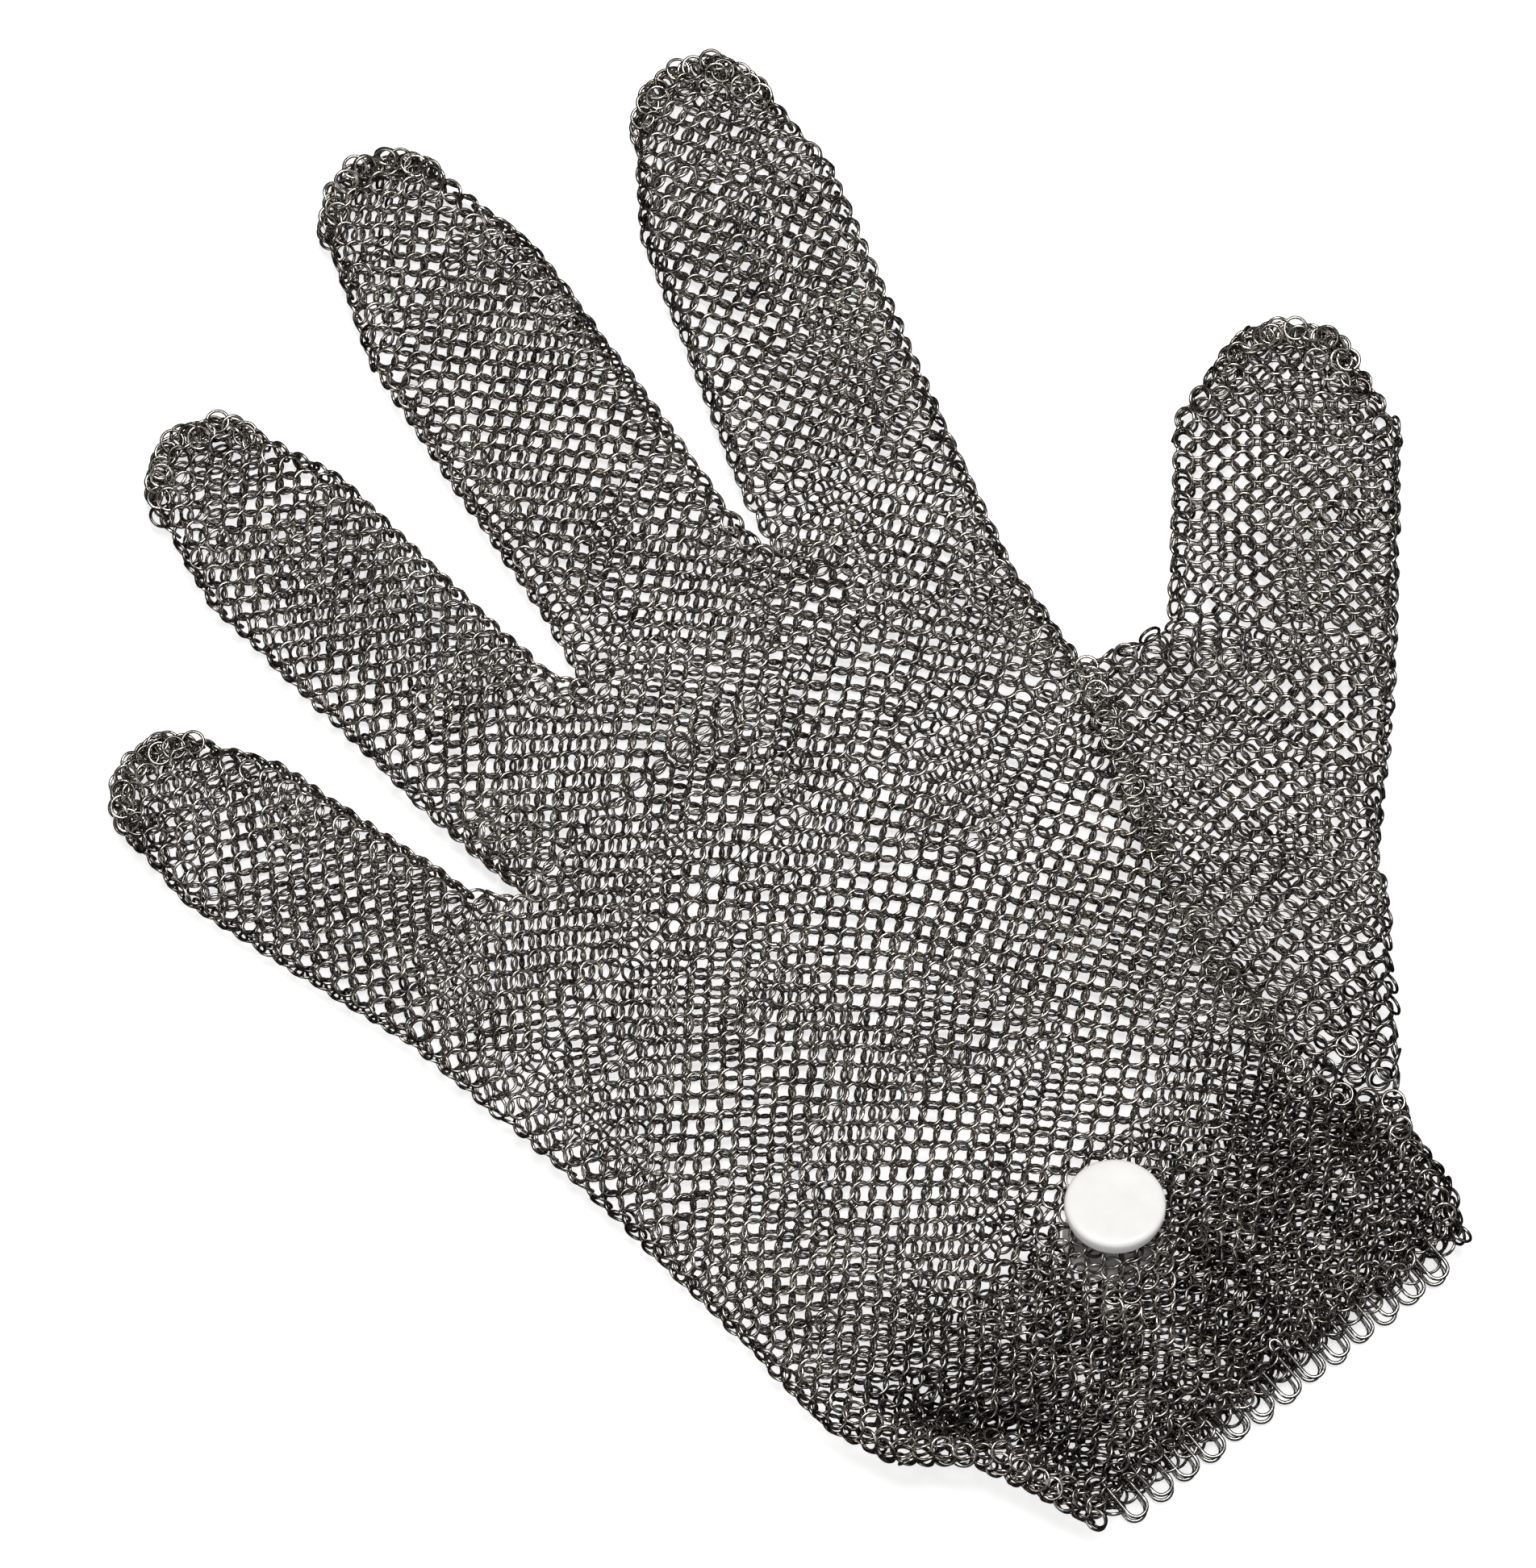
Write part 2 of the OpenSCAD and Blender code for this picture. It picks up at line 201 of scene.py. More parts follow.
def row_path(row):
    """Middle line of a row, evenly spaced: w = 0 at its a end on top, 0.5 at its b
    end, and 1 at its a end below."""
    a, b = np.array(row["a"], float), np.array(row["b"], float)
    chord = b - a
    width = np.linalg.norm(chord)
    up = np.array([-chord[1], chord[0]]) / width
    up = up * np.sign(up @ row["up"])
    start = MAIL_INSET if row["closed"] else 0.0
    span = max(width - start - MAIL_INSET, LEAST_SPAN)
    c = start + span * (1 - np.cos(np.linspace(0, math.pi, PATH_SAMPLES))) / 2
    t = c / width
    plan = a + t[:, None] * chord + (4 * row["sag"] * t * (1 - t))[:, None] * up
    fold = min(FOLD_R, span / 2)
    edge = np.sqrt(1 - (1 - np.clip((start + span - c) / fold, 0, 1)) ** 2)
    if row["closed"]:
        edge = edge * np.sqrt(1 - (1 - np.clip((c - start) / fold, 0, 1)) ** 2)
    high = layer_height(plan[:, 0], plan[:, 1], True)
    low = layer_height(plan[:, 0], plan[:, 1], False)
    middle = (high + low) / 2
    edge = edge * row["flat"]
    top = np.column_stack([plan, middle + edge * (high - middle)])
    below = np.column_stack([plan, middle + edge * (low - middle)])[::-1]
    halves = []
    length = 0
    for half in (top, below):
        steps = np.linalg.norm(np.diff(half, axis=0), axis=1)
        s = np.concatenate([[0], np.cumsum(steps)])
        even = np.linspace(0, s[-1], PATH_SAMPLES)
        halves.append(np.column_stack([np.interp(even, s, half[:, k]) for k in range(3)]))
        length += s[-1]
    return np.vstack([halves[0], halves[1][1:]]), length


def at(path, w):
    w = np.asarray(w, float)
    k = np.clip(w, 0, 1) * (len(path) - 1)
    low = np.minimum(k.astype(int), len(path) - 2)
    share = (k - low)[:, None]
    return path[low] * (1 - share) + path[low + 1] * share


def next_in_closed(w, pitch):
    """Places of the next row round a closed row."""
    w = np.sort(np.mod(w, 1))
    mid = (w + np.roll(w, -1) + (np.arange(len(w)) == len(w) - 1)) / 2
    target = max(3, round(1 / pitch))
    while len(mid) < target:
        gaps = np.append(np.diff(mid), mid[0] + 1 - mid[-1])
        k = int(np.argmax(gaps))
        mid = np.insert(mid, k + 1, mid[k] + gaps[k] / 2)
    while len(mid) > target:
        gaps = np.append(np.diff(mid), mid[0] + 1 - mid[-1])
        mid = np.delete(mid, int(np.argmin(gaps)))
    for _ in range(3):
        before = np.roll(mid, 1) - (np.arange(len(mid)) == 0)
        after = np.roll(mid, -1) + (np.arange(len(mid)) == len(mid) - 1)
        mid = mid + 0.3 * ((before + after) / 2 - mid)
    return np.mod(mid, 1)


def next_in_open(w, pitch):
    """Places of the next row of an open row, out to both its ends."""
    w = np.sort(w)
    mid = (w[:-1] + w[1:]) / 2
    while mid[0] > END_GAP * pitch:
        mid = np.insert(mid, 0, mid[0] - pitch)
    while 1 - mid[-1] > END_GAP * pitch:
        mid = np.append(mid, mid[-1] + pitch)
    target = 1 / pitch
    if len(mid) < target - TOO_FEW:
        k = int(np.argmax(np.diff(mid)))
        mid = np.insert(mid, k + 1, (mid[k] + mid[k + 1]) / 2)
    elif len(mid) > target + TOO_MANY:
        mid = np.delete(mid, int(np.argmin(np.diff(mid))) + 1)
    for _ in range(4):
        mid[1:-1] = mid[1:-1] + 0.35 * ((mid[:-2] + mid[2:]) / 2 - mid[1:-1])
    return np.clip(mid, 0, 1)


def next_places(w, length, row):
    """Rings of the next row hang between the rings of the last one. A ring is put
    in or left out where the row has become too wide or too narrow for its rings."""
    pitch = row["pitch"] / length
    return next_in_closed(w, pitch) if row["closed"] else next_in_open(w, pitch)


def station(a, b, sag=0.0, closed=True, row=ROW_PALM, pitch=ALONG_ROW, up=(0, 1), flat=1.0):
    return {"a": a, "b": b, "sag": sag, "closed": closed, "row": row, "pitch": pitch,
            "up": np.array(up, float), "flat": flat}


def between(stations):
    """Rows spaced evenly from each station to the next, the last one left out."""
    rows = []
    for s, e in zip(stations, stations[1:]):
        mid_s, mid_e = (np.add(s["a"], s["b"]) / 2, np.add(e["a"], e["b"]) / 2)
        rise = np.linalg.norm(mid_e - mid_s) + (e["sag"] - s["sag"])
        count = max(1, round(rise / ((s["row"] + e["row"]) / 2)))
        for k in range(count):
            t = k / count
            row = dict(s)
            for key in ("a", "b"):
                row[key] = np.array(s[key], float) * (1 - t) + np.array(e[key], float) * t
            for key in ("sag", "row", "pitch", "flat"):
                row[key] = s[key] * (1 - t) + e[key] * t
            rows.append(row)
    return rows


def finger_station(name, a, seam_side=1):
    root, heading, length = FINGERS[name][:3]
    tip_r = FINGERS[name][5]
    half = finger_half_width(name, a)
    middle = np.array(root) + a * forward(heading)
    side = sideways(heading) * half * seam_side
    over = max(a - (length - tip_r), 0) / tip_r
    return station(middle + side, middle - side, row=ROW_FINGER, up=forward(heading),
                   flat=1 - TIP_FLATTENING * over**2)


def finger_rows(name, from_a, seam_side=1):
    length = FINGERS[name][2]
    rows = []
    a = from_a
    while a < length - LAST_ROW_BACK:
        rows.append(finger_station(name, a, seam_side))
        a += ROW_FINGER
    return rows


centres, frames, tones_and_shade = [], [], []


def unit(v):
    return v / np.maximum(np.linalg.norm(v, axis=-1, keepdims=True), 1e-9)


def wander(points, top):
    """Small drifts of the weave, different in each layer."""
    x, y = points[:, 0], points[:, 1]
    k = 0.0 if top else WANDER_LOW_PHASE
    shift = np.array([0.0, 0.0]) if top else LOW_LAYER_SHIFT
    size = WANDER_TOP if top else WANDER_LOW
    dx = size * np.sin(0.061 * x + 0.083 * y + 0.4 + k)
    dx = dx + WANDER_FINE * np.sin(0.19 * y - 0.11 * x + k)
    dy = size * np.sin(0.077 * x - 0.049 * y + 1.9 - k)
    dy = dy + WANDER_FINE * np.sin(0.17 * x + 0.07 * y + k)
    return np.column_stack([dx + shift[0], dy + shift[1], 0 * x])


def add_rings(points, along, across, lean, loose=1.0):
    """Rings at points: along is the row's direction, across the next row's, and
    lean how far each ring leans over, in degrees."""
    n = len(points)
    normal = unit(np.cross(along, across))
    lean = np.radians(lean + loose * rng.normal(0, LEAN_SCATTER, n))[:, None]
    yaw = np.radians(loose * rng.normal(0, YAW_SCATTER, n))[:, None]
    axis = unit(np.cos(lean) * normal + np.sin(lean) * across)
    axis = unit(axis + np.sin(yaw) * along)
    e1 = unit(along - (along * axis).sum(1, keepdims=True) * axis)
    e2 = np.cross(axis, e1)
    centres.append(points + loose * rng.normal(0, PLACE_SCATTER, (n, 3)))
    frames.append(np.stack([e1, e2, axis], axis=1))
    tones_and_shade.append(rng.random(n))


def lay(rows, w, start_index=0):
    """Lays rows of rings, from places w in the first, and gives the last places.
    Rows lean to one side and the other in turn, and less near a folded edge."""
    paths = [row_path(r) for r in rows]
    for k, row in enumerate(rows):
        path, length = paths[k]
        if k:
            w = next_places(w, length, row)
        points = at(path, w)
        step = 0.6 / len(path)
        ahead, behind = w + step, w - step
        if row["closed"]:
            along = unit(at(path, np.mod(ahead, 1)) - at(path, np.mod(behind, 1)))
        else:
            along = unit(at(path, ahead) - at(path, behind))
        up_row = paths[min(k + 1, len(rows) - 1)][0]
        down_row = paths[max(k - 1, 0)][0]
        across = at(up_row, w) - at(down_row, w)
        across = unit(across - (across * along).sum(1, keepdims=True) * along)
        lean = LEAN + LEAN_CLOSER * (ROW_PALM - row["row"])
        sign = 1 if (k + start_index) % 2 else -1
        top = (w < 0.5)[:, None]
        to_end = np.minimum(w, 1 - w) if row["closed"] else 1
        edge = np.clip(np.minimum(np.abs(w - 0.5), to_end) * length / EDGE_EASE, 0, 1)[:, None]
        points = points + edge * np.where(top, wander(points, True), wander(points, False))
        crowded = smooth01((GATHER_FULL_Y + 12 - points[:, 1].mean()) / 20)
        lean_here = sign * lean * (0.5 + 0.5 * edge[:, 0])
        add_rings(points, along, across, lean_here, 1 + MORE_IN_GATHERS * crowded)
    return w


def first_places(row):
    length = row_path(row)[1]
    count = round(length / row["pitch"])
    return (np.arange(count) + 0.5) / count


def part_of(w, first, last):
    """Places of a closed row's rings that lie from share first to share last of its
    width, as places in a narrower closed row."""
    out = []
    for p in np.mod(w, 1):
        share = 2 * p if p < 0.5 else 2 - 2 * p
        if first <= share < last:
            inner = (share - first) / (last - first) / 2
            out.append(inner if p < 0.5 else 1 - inner)
    return np.sort(np.array(out))


def share_on(row, point):
    a, b = np.array(row["a"]), np.array(row["b"])
    d = b - a
    return float((np.array(point) - a) @ d / (d @ d))


# The hand, from the cuff's edge to the crotch of the little finger.
cuff = {"row": ROW_CUFF, "pitch": ALONG_ROW_GATHERED}
HAND = [
    station((39.2, 2.2), (-41.2, 2.2), **cuff),
    station((42.0, 9.0), (-44.0, 9.0), **cuff),
    station((42.5, 22.0), (-50.0, 21.5), **cuff),
]
HAND_OPEN = [
    station((42.5, 22.0), (-50.0, 21.5), closed=False, **cuff),
    station((35.0, 31.0), (-61.0, 30.5), closed=False, **cuff),
    station((33.0, 41.0), (-65.6, 41.0), 1.0, False),
    station((33.7, 63.0), (-67.3, 60.0), 3.5, False),
    station((40.0, 89.0), (-71.0, 88.0), 8.0, False),
    station((48.5, 116.0), (-76.2, 115.2), 10.8, False),
]
CROTCH_ROW = station((48.9, 116.5), (-76.8, 116.2), 10.8)
KNUCKLE_ROW = station((50.2, 137.1), (-80.7, 135.7), 10.6)
THREE_LOW = station((50.2, 137.1), (-50.4, 144.0), 6.2)
THREE_HIGH = station((54.7, 156.6), (-54.2, 163.3), 6.6)
THREE_SPLITS = [(19.4, 164.7), (-20.2, 166.9)]
LITTLE_CROTCH = (-50.4, 144.0)

hand_rows = between(HAND) + between(HAND_OPEN) + between([CROTCH_ROW, KNUCKLE_ROW])
w = lay(hand_rows, first_places(hand_rows[0]))
count = len(hand_rows)
split = share_on(KNUCKLE_ROW, LITTLE_CROTCH)

three_rows = between([THREE_LOW, THREE_HIGH])
w_three = lay(three_rows, part_of(w, 0, split), count)
ROOT_LAPS = {"index": 4.0, "middle": 4.5, "ring": 4.0, "little": 4.0}


def lay_finger(name, low_row, places, index):
    lap = ROOT_LAPS[name]
    rows = between([low_row, finger_station(name, lap)]) + finger_rows(name, lap)
    lay(rows, places, index)


w = next_places(w, row_path(KNUCKLE_ROW)[1], KNUCKLE_ROW)
little_row = station(LITTLE_CROTCH, (-80.7, 135.7), 0.6)
lay_finger("little", little_row, part_of(w, split, 1.001), count)

count += len(three_rows)
w_three = next_places(w_three, row_path(THREE_HIGH)[1], THREE_HIGH)
corners = [(54.7, 156.6)] + THREE_SPLITS + [(-54.2, 163.3)]
shares = [share_on(THREE_HIGH, p) for p in corners]
shares[0], shares[-1] = 0.0, 1.001
for k, name in enumerate(("index", "middle", "ring")):
    low_row = station(corners[k], corners[k + 1], 0.8)
    lay_finger(name, low_row, part_of(w_three, shares[k], shares[k + 1]), count)

# The thumb, from the cuff up: open towards the palm below its crotch. Its two edges are
# given as (along, to the side) of its middle line.
THUMB_LEFT = np.array([[-81.0, 20.5], [-75.9, 3.7], [-57.9, -10.6], [-34.7, -21.8], [-7.7, -33.3],
                       [0.0, -19.5]])
THUMB_RIGHT = np.array([[-81.4, 22.0], [-44.0, 18.9], [-40.3, 17.2], [-15.0, 19.0], [0.0, 19.5]])
THUMB_CROTCH_A, THUMB_FROM_A = -7.7, -77.0


def thumb_station(a):
    root, heading = FINGERS["thumb"][:2]
    middle = np.array(root) + a * forward(heading)
    left = np.interp(a, THUMB_LEFT[:, 0], THUMB_LEFT[:, 1])
    right = np.interp(a, THUMB_RIGHT[:, 0], THUMB_RIGHT[:, 1])
    return station(middle + left * sideways(heading), middle + right * sideways(heading),
                   closed=a > THUMB_CROTCH_A, row=ROW_FINGER, up=forward(heading))


thumb_rows = [thumb_station(a) for a in np.arange(THUMB_FROM_A, -1.0, ROW_FINGER)]
thumb_rows += finger_rows("thumb", 0.0, -1)
lay(thumb_rows, first_places(thumb_rows[0]))


# Rings that join the palm's rows to the thumb's, along both layers of the seam.
SEAM = np.array([[43.5, 24.0], [33.6, 36.0], [33.0, 42.0], [33.7, 63.0], [40.0, 88.0], [48.5, 116.0]])

SEAM_SPACING, SEAM_LEAN, SEAM_LOOSE = 4.3, 12, 2.0

def along_line(line, spacing):
    steps = np.linalg.norm(np.diff(line, axis=0), axis=1)
    s = np.concatenate([[0], np.cumsum(steps)])
    even = np.arange(spacing / 2, s[-1], spacing)
    points = np.column_stack([np.interp(even, s, line[:, k]) for k in range(2)])
    ahead = np.column_stack([np.interp(even + 0.5, s, line[:, k]) for k in range(2)])
    return points, unit(ahead - points)


for top in (True, False):
    points, heading = along_line(SEAM, SEAM_SPACING)
    z = layer_height(points[:, 0], points[:, 1], top)
    along = np.column_stack([heading, 0 * z])
    across = np.column_stack([-heading[:, 1], heading[:, 0], 0 * z])
    lean = np.where(np.arange(len(z)) % 2, SEAM_LEAN, -SEAM_LEAN)
    add_rings(np.column_stack([points, z]), along, across, lean, SEAM_LOOSE)

# Loose rings that close each fingertip.
FRINGE_TURN, FRINGE_SPACING, FRINGE_LEAN, FRINGE_LOOSE = 1.25, 3.1, 28, 2.2
for name, (root, heading, length, root_w, width, tip_r) in FINGERS.items():
    for layer, level in enumerate((LOW_LEVEL + 0.7, 4.0, HIGH_LEVEL - 0.7)):
        turns = np.arange(-FRINGE_TURN, FRINGE_TURN + 0.01, FRINGE_SPACING / tip_r) + 0.1 * layer
        reach = tip_r - 1.9 + rng.uniform(-0.6, 0.9, len(turns))
        side, along_a = reach * np.sin(turns), length - tip_r + reach * np.cos(turns)
        s, f = sideways(heading), forward(heading)
        xy = np.array(root) + side[:, None] * s + along_a[:, None] * f
        out = np.sin(turns)[:, None] * s + np.cos(turns)[:, None] * f
        z = np.full(len(turns), level)
        across = np.column_stack([out, 0 * z])
        along = np.column_stack([-out[:, 1], out[:, 0], 0 * z])
        lean = rng.uniform(-FRINGE_LEAN, FRINGE_LEAN, len(z))
        add_rings(np.column_stack([xy, z]), along, across, lean, FRINGE_LOOSE)

centres = np.vstack(centres)
frames = np.vstack(frames)
tones_and_shade = np.concatenate(tones_and_shade)
# No ring lies more than FLOOR_DIP below the floor. Rings in the cuff have painted shade put in their
# colour: a little darker all over the cuff, and much darker the lower they lie in its folds, where the
# crowded gathers would shade them.
below_centre = RING_R * np.sqrt(1 - frames[:, 2, 2] ** 2) + WIRE_R
centres[:, 2] = np.maximum(centres[:, 2], below_centre - FLOOR_DIP)
in_cuff = smooth01((GATHER_FULL_Y + 16 - centres[:, 1]) / 16)
fold_shade_depth = smooth01((HIGH_LEVEL + 2.6 - centres[:, 2]) / 4.5)
tones_and_shade = tones_and_shade * (1 - in_cuff * (CUFF_PAINTED_SHADE + FOLD_PAINTED_SHADE * fold_shade_depth))

# ---------------------------------------------------------------- which piece a ring is in
SWING_AT = np.array(joints["thumb_swing"]["pos_m"][:2]) * 1000 + SHIFT[:2]
swing_axis = joints["thumb_swing"]["axis"]
SWING_WAY = np.array([-swing_axis[1], swing_axis[0]])
KNUCKLE_REACH, SWING_REACH, WRIST_REACH = 9.5, 8.5, 12.0
MIDDLE_FROM, TIP_FROM, THUMB_TIP_FROM = 0.16, 0.47, 0.23
THUMB_PAST_SWING, THUMB_FROM_X, FINGERS_FROM_Y = 6.0, 52, 112


def piece_of(p):
    x, y = p[0], p[1]
    past_swing = (np.array([x, y]) - SWING_AT) @ SWING_WAY
    thumb_a = finger_coordinates("thumb", x, y)[1]
    if thumb_a > -KNUCKLE_REACH and past_swing > THUMB_PAST_SWING and x > THUMB_FROM_X:
        length = FINGERS["thumb"][2]
        return "thumb_tip_rings" if thumb_a > THUMB_TIP_FROM * length else "thumb_knuckle_rings"
    if y > FINGERS_FROM_Y:
        best = None
        for name in ("index", "middle", "ring", "little"):
            s, a = finger_coordinates(name, x, y)
            off = abs(s) - FINGERS[name][3] / 2
            if a > -KNUCKLE_REACH and (best is None or off < best[0]):
                best = (off, name, a)
        if best is not None:
            name, share = best[1], best[2] / FINGERS[best[1]][2]
            if share > TIP_FROM:
                return name + "_tip_rings"
            return name + ("_middle_rings" if share > MIDDLE_FROM else "_knuckle_rings")
    if past_swing > -SWING_REACH and y > WRIST_Y + 2:
        return "thumb_base_rings"
    if y < WRIST_Y - WRIST_REACH:
        return "cuff_rings"
    return "wrist_rings" if y < WRIST_Y + WRIST_REACH else "palm_rings"


# ---------------------------------------------------------------- materials
def new_material(name):
    material = bpy.data.materials.new(name)
    material.use_nodes = True
    nodes = material.node_tree.nodes
    return material, nodes, material.node_tree.links, nodes["Principled BSDF"]


def ramp(nodes, stops):
    node = nodes.new("ShaderNodeValToRGB")
    while len(node.color_ramp.elements) < len(stops):
        node.color_ramp.elements.new(0.5)
    for element, (place, colour) in zip(node.color_ramp.elements, stops):
        element.position = place
        element.color = (*colour, 1)
    return node


def noise(nodes, links, scale, detail=3.0):
    place = nodes.new("ShaderNodeTexCoord")
    node = nodes.new("ShaderNodeTexNoise")
    node.inputs["Scale"].default_value = scale
    node.inputs["Detail"].default_value = detail
    links.new(place.outputs["Object"], node.inputs["Vector"])
    return node


def spread(nodes, links, source, low, high):
    node = nodes.new("ShaderNodeMapRange")
    node.inputs["From Min"].default_value = 0.3
    node.inputs["From Max"].default_value = 0.7
    node.inputs["To Min"].default_value = low
    node.inputs["To Max"].default_value = high
    links.new(source, node.inputs["Value"])
    return node.outputs["Result"]


def bump(nodes, links, source, shader, distance, strength):
    node = nodes.new("ShaderNodeBump")
    node.inputs["Distance"].default_value = distance
    node.inputs["Strength"].default_value = strength
    links.new(source, node.inputs["Height"])
    links.new(node.outputs["Normal"], shader.inputs["Normal"])


def steel(name, dark, light, rough_low, rough_high, tone_and_shade=None):
    material, nodes, links, shader = new_material(name)
    shader.inputs["Metallic"].default_value = 1.0
    patches = noise(nodes, links, 900.0)
    colours = ramp(nodes, [(0.25, dark), (0.75, light)])
    source = patches.outputs["Fac"]
    # The per-ring attribute holds a random value for each ring with painted shade for the cuff's folds
    # multiplied in; it darkens the base colour.
    if tone_and_shade:
        each = nodes.new("ShaderNodeAttribute")
        each.attribute_name = tone_and_shade
        mix = nodes.new("ShaderNodeMath")
        mix.operation = "MULTIPLY_ADD"
        mix.inputs[1].default_value = 0.45
        half = nodes.new("ShaderNodeMath")
        half.operation = "MULTIPLY"
        half.inputs[1].default_value = 0.55
        links.new(source, half.inputs[0])
        links.new(each.outputs["Fac"], mix.inputs[0])
        links.new(half.outputs[0], mix.inputs[2])
        source = mix.outputs[0]
    links.new(source, colours.inputs["Fac"])
    links.new(colours.outputs["Color"], shader.inputs["Base Color"])
    wear = noise(nodes, links, 2600.0, 2.0)
    roughness = spread(nodes, links, wear.outputs["Fac"], rough_low, rough_high)
    links.new(roughness, shader.inputs["Roughness"])
    bump(nodes, links, wear.outputs["Fac"], shader, 0.00003, 0.35)
    return material


def white_plastic():
    material, nodes, links, shader = new_material("moulded_white_plastic")
    cloud = noise(nodes, links, 240.0)
    colours = ramp(nodes, [(0.3, (0.80, 0.80, 0.795)), (0.7, (0.85, 0.85, 0.845))])
    links.new(cloud.outputs["Fac"], colours.inputs["Fac"])
    links.new(colours.outputs["Color"], shader.inputs["Base Color"])
    grain = noise(nodes, links, 3200.0, 4.0)
    links.new(spread(nodes, links, grain.outputs["Fac"], 0.28, 0.42), shader.inputs["Roughness"])
    shader.inputs["Subsurface Weight"].default_value = 0.08
    shader.inputs["Subsurface Radius"].default_value = (0.002, 0.002, 0.002)
    bump(nodes, links, grain.outputs["Fac"], shader, 0.00002, 0.25)
    return material


MAIL_STEEL = steel("ring_mail_steel", (0.115, 0.106, 0.096), (0.57, 0.54, 0.50), 0.14, 0.28, "ring_tone_and_shade")
SPRING_STEEL = steel("spring_steel_wire", (0.20, 0.195, 0.19), (0.46, 0.45, 0.44), 0.12, 0.24)
PLASTIC = white_plastic()


# ---------------------------------------------------------------- meshes
def mesh_object(name, points, quads, material, uv=None):
    """A mesh of quads, points in metres in the part's frame."""
    mesh = bpy.data.meshes.new(name)
    mesh.vertices.add(len(points))
    mesh.vertices.foreach_set("co", np.asarray(points, np.float32).ravel())
    count = len(quads)
    mesh.loops.add(4 * count)
    mesh.polygons.add(count)
    mesh.loops.foreach_set("vertex_index", np.asarray(quads, np.int32).ravel())
    mesh.polygons.foreach_set("loop_start", np.arange(0, 4 * count, 4, dtype=np.int32))
    mesh.polygons.foreach_set("loop_total", np.full(count, 4, np.int32))
    mesh.update(calc_edges=True)
    mesh.polygons.foreach_set("use_smooth", np.ones(count, bool))
    if uv is not None:
        layer = mesh.uv_layers.new(name="OFBake")
        layer.data.foreach_set("uv", np.asarray(uv, np.float32).ravel())
    mesh.materials.append(material)
    obj = bpy.data.objects.new(name, mesh)
    bpy.context.scene.collection.objects.link(obj)
    return obj


u = np.arange(RING_SEGMENTS) * 2 * math.pi / RING_SEGMENTS
v = np.arange(RING_SIDES) * 2 * math.pi / RING_SIDES
uu, vv = np.meshgrid(u, v, indexing="ij")
TORUS = np.column_stack([
    ((RING_R + WIRE_R * np.cos(vv)) * np.cos(uu)).ravel(),
    ((RING_R + WIRE_R * np.cos(vv)) * np.sin(uu)).ravel(),
    (WIRE_R * np.sin(vv)).ravel(),
])
ii, jj = np.meshgrid(np.arange(RING_SEGMENTS), np.arange(RING_SIDES), indexing="ij")
ii, jj = ii.ravel(), jj.ravel()
i2, j2 = (ii + 1) % RING_SEGMENTS, (jj + 1) % RING_SIDES
TORUS_QUADS = np.column_stack([ii * RING_SIDES + jj, i2 * RING_SIDES + jj, i2 * RING_SIDES + j2,
                               ii * RING_SIDES + j2])
TORUS_UV = np.stack([
    np.column_stack([ii, ii + 1, ii + 1, ii]) / RING_SEGMENTS,
    np.column_stack([jj, jj, jj + 1, jj + 1]) / RING_SIDES,
], axis=-1)


def ring_piece(name, chosen):
    n = len(chosen)
    points = centres[chosen][:, None] + np.einsum("vk,nkj->nvj", TORUS, frames[chosen])
    quads = TORUS_QUADS[None] + (np.arange(n) * len(TORUS))[:, None, None]
    side = math.ceil(math.sqrt(n))
    cell = np.stack([np.arange(n) % side, np.arange(n) // side], axis=-1)
    uv = (cell[:, None, None] + 0.04 + 0.92 * TORUS_UV[None]) / side
    obj = mesh_object(name, to_frame(points.reshape(-1, 3)), quads.reshape(-1, 4), MAIL_STEEL, uv)
    # Each ring's random value, with its painted shade in the cuff, is given to every point of the ring.
    tone_and_shade = obj.data.attributes.new("ring_tone_and_shade", "FLOAT", "POINT")
    tone_and_shade.data.foreach_set("value", np.repeat(tones_and_shade[chosen], len(TORUS)).astype(np.float32))
    return obj


def blend_over(obj, joint_name, reach):
    joint = joints[joint_name]
    place, axis = np.array(joint["pos_m"]), joint["axis"]
    way = np.array([-axis[1], axis[0], 0.0])
    way = way / np.linalg.norm(way) * reach / 1000
    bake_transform(obj)


# Each piece of mail: the joint at it, how far to each side of that joint, and the node it stands for.
# blend_over only bakes a jointed piece's placement into its mesh and does not bend it; a piece with no
# joint rides on one body.
BENDING = {
    "wrist_rings": ("wrist_bend", 9.0, []),
    "thumb_base_rings": ("thumb_swing", 7.0, ["thumb_base_mail"]),
    "thumb_knuckle_rings": ("thumb_knuckle", 7.0, ["thumb_middle_mail"]),
    "thumb_tip_rings": ("thumb_tip_bend", 9.0, ["thumb_tip_mail"]),
}
for name in ("index", "middle", "ring", "little"):
    BENDING[name + "_knuckle_rings"] = (name + "_knuckle", 7.0, [name + "_base_mail"])
    BENDING[name + "_middle_rings"] = (name + "_middle_bend", 8.0, [name + "_middle_mail"])
    BENDING[name + "_tip_rings"] = (name + "_tip_bend", 6.5, [name + "_tip_mail"])
RIDING = {"cuff_rings": ("cuff", "cuff_mail"), "palm_rings": ("palm", "palm_mail")}

